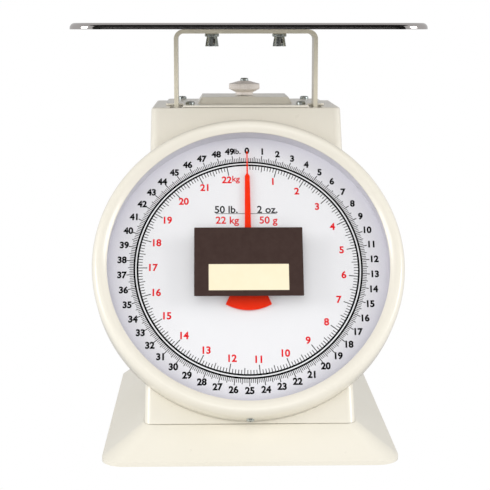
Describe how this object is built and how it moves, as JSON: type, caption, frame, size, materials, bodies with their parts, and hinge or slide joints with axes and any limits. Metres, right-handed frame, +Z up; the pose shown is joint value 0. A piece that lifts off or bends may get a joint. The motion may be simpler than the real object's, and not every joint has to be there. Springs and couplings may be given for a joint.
{
  "type": "mechanical dial platform scale",
  "caption": "Bench dial scale: square steel platform on a yoke over a painted wedge housing with a tilted round dial, zero knob and flared base.",
  "frame": {"origin": "under the middle of the whole scale's bounding box, on the surface it stands on", "axes": "+Z up, the dial faces -Y, +X to the right of someone reading the dial"},
  "size_m": [0.24, 0.2696, 0.292],
  "materials": {
    "cream_paint": "gloss enamel",
    "stainless": "polished",
    "zinc_steel": "zinc plated",
    "spring_steel": "oiled",
    "feet_rubber": "matte",
    "ivory_plastic": "moulded",
    "dial_enamel": "printed enamel",
    "grey_plastic": "moulded",
    "clear_lens": "clear",
    "label_print": "printed film",
    "pointer_red": "painted",
    "brass": "machined",
    "guide_plastic": "moulded"
  },
  "bodies": {
    "case": {"base_pan": "cream_paint", "bottom_plate": "zinc_steel", "rubber_feet": "feet_rubber", "base_screws": "zinc_steel", "housing_shell": "cream_paint", "rear_cover": "cream_paint", "rear_cover_screws": "zinc_steel", "top_cover": "cream_paint", "top_cover_screws": "zinc_steel", "left_spring": "spring_steel", "right_spring": "spring_steel", "back_frame": "zinc_steel", "dial_pan": "zinc_steel", "dial_pan_screws": "zinc_steel", "dial_plate": "dial_enamel", "spacer_ring": "grey_plastic", "lens": "clear_lens", "lens_label": "label_print", "bezel": "cream_paint", "bezel_screw": "zinc_steel", "rack_guide": "guide_plastic", "movement_front_plate": "brass", "movement_rear_plate": "brass", "movement_pillars": "zinc_steel", "movement_screws": "zinc_steel", "shaft_bushes": "brass"},
    "load_frame": {"load_frame": "zinc_steel", "yoke": "cream_paint", "spring_clips": "zinc_steel", "yoke_screws": "zinc_steel"},
    "platform": {"platform_pan": "stainless", "platform_studs": "stainless"},
    "zero_knob": {"zero_knob": "ivory_plastic", "zero_knob_screw": "zinc_steel", "adjusting_screw": "zinc_steel"},
    "crosshead": {"crosshead": "zinc_steel"},
    "upper_guide_lever": {"upper_guide_lever": "zinc_steel"},
    "lower_guide_lever": {"lower_guide_lever": "zinc_steel"},
    "rack": {"rack": "brass", "rack_pin": "zinc_steel"},
    "pointer": {"pointer": "pointer_red", "pointer_hub": "brass", "pinion_shaft": "brass"}
  },
  "joints": [
    {"name": "platform_travel", "type": "slide", "parent": "case", "child": "load_frame", "axis": [0, 0, -1], "range_m": [0, 0.0176], "stiffness_N_per_m": 12640, "springref_m": -0.0009, "deforming": ["left_spring", "right_spring"]},
    {"name": "platform_lift_off", "type": "slide", "parent": "load_frame", "child": "platform", "axis": [0, 0, 1], "range_m": [0, 0.03]},
    {"name": "zero_turn", "type": "hinge", "parent": "case", "child": "zero_knob", "pos_m": [0, 0.0595, 0.24], "axis": [0, 0, 1], "range_deg": [-451, 451]},
    {"name": "crosshead_slide", "type": "slide", "parent": "case", "child": "crosshead", "axis": [0, 0, 1], "range_m": [-0.001, 0.001]},
    {"name": "upper_lever_pivot", "type": "hinge", "parent": "case", "child": "upper_guide_lever", "pos_m": [0, 0.0788, 0.1472], "axis": [1, 0, 0], "range_deg": [0, 21.76]},
    {"name": "lower_lever_pivot", "type": "hinge", "parent": "case", "child": "lower_guide_lever", "pos_m": [0, 0.0788, 0.0992], "axis": [1, 0, 0], "range_deg": [0, 21.76]},
    {"name": "rack_slide", "type": "slide", "parent": "case", "child": "rack", "axis": [0, -0.4837, -0.8752], "range_m": [0, 0.0202]},
    {"name": "pointer_spin", "type": "hinge", "parent": "case", "child": "pointer", "pos_m": [0, -0.0593, 0.12006], "axis": [0, 0.8752, -0.4837], "range_deg": [0, 361]}
  ],
  "couplings": [
    {"joint": "zero_turn", "follows": "crosshead_slide", "rad_per_m": -7854},
    {"joint": "rack_slide", "follows": "platform_travel", "ratio": 1.1426},
    {"joint": "pointer_spin", "follows": "platform_travel", "rad_per_m": 357.06},
    {"joint": "upper_lever_pivot", "follows": "platform_travel", "rad_per_m": 21.48},
    {"joint": "lower_lever_pivot", "follows": "platform_travel", "rad_per_m": 21.48}
  ]
}
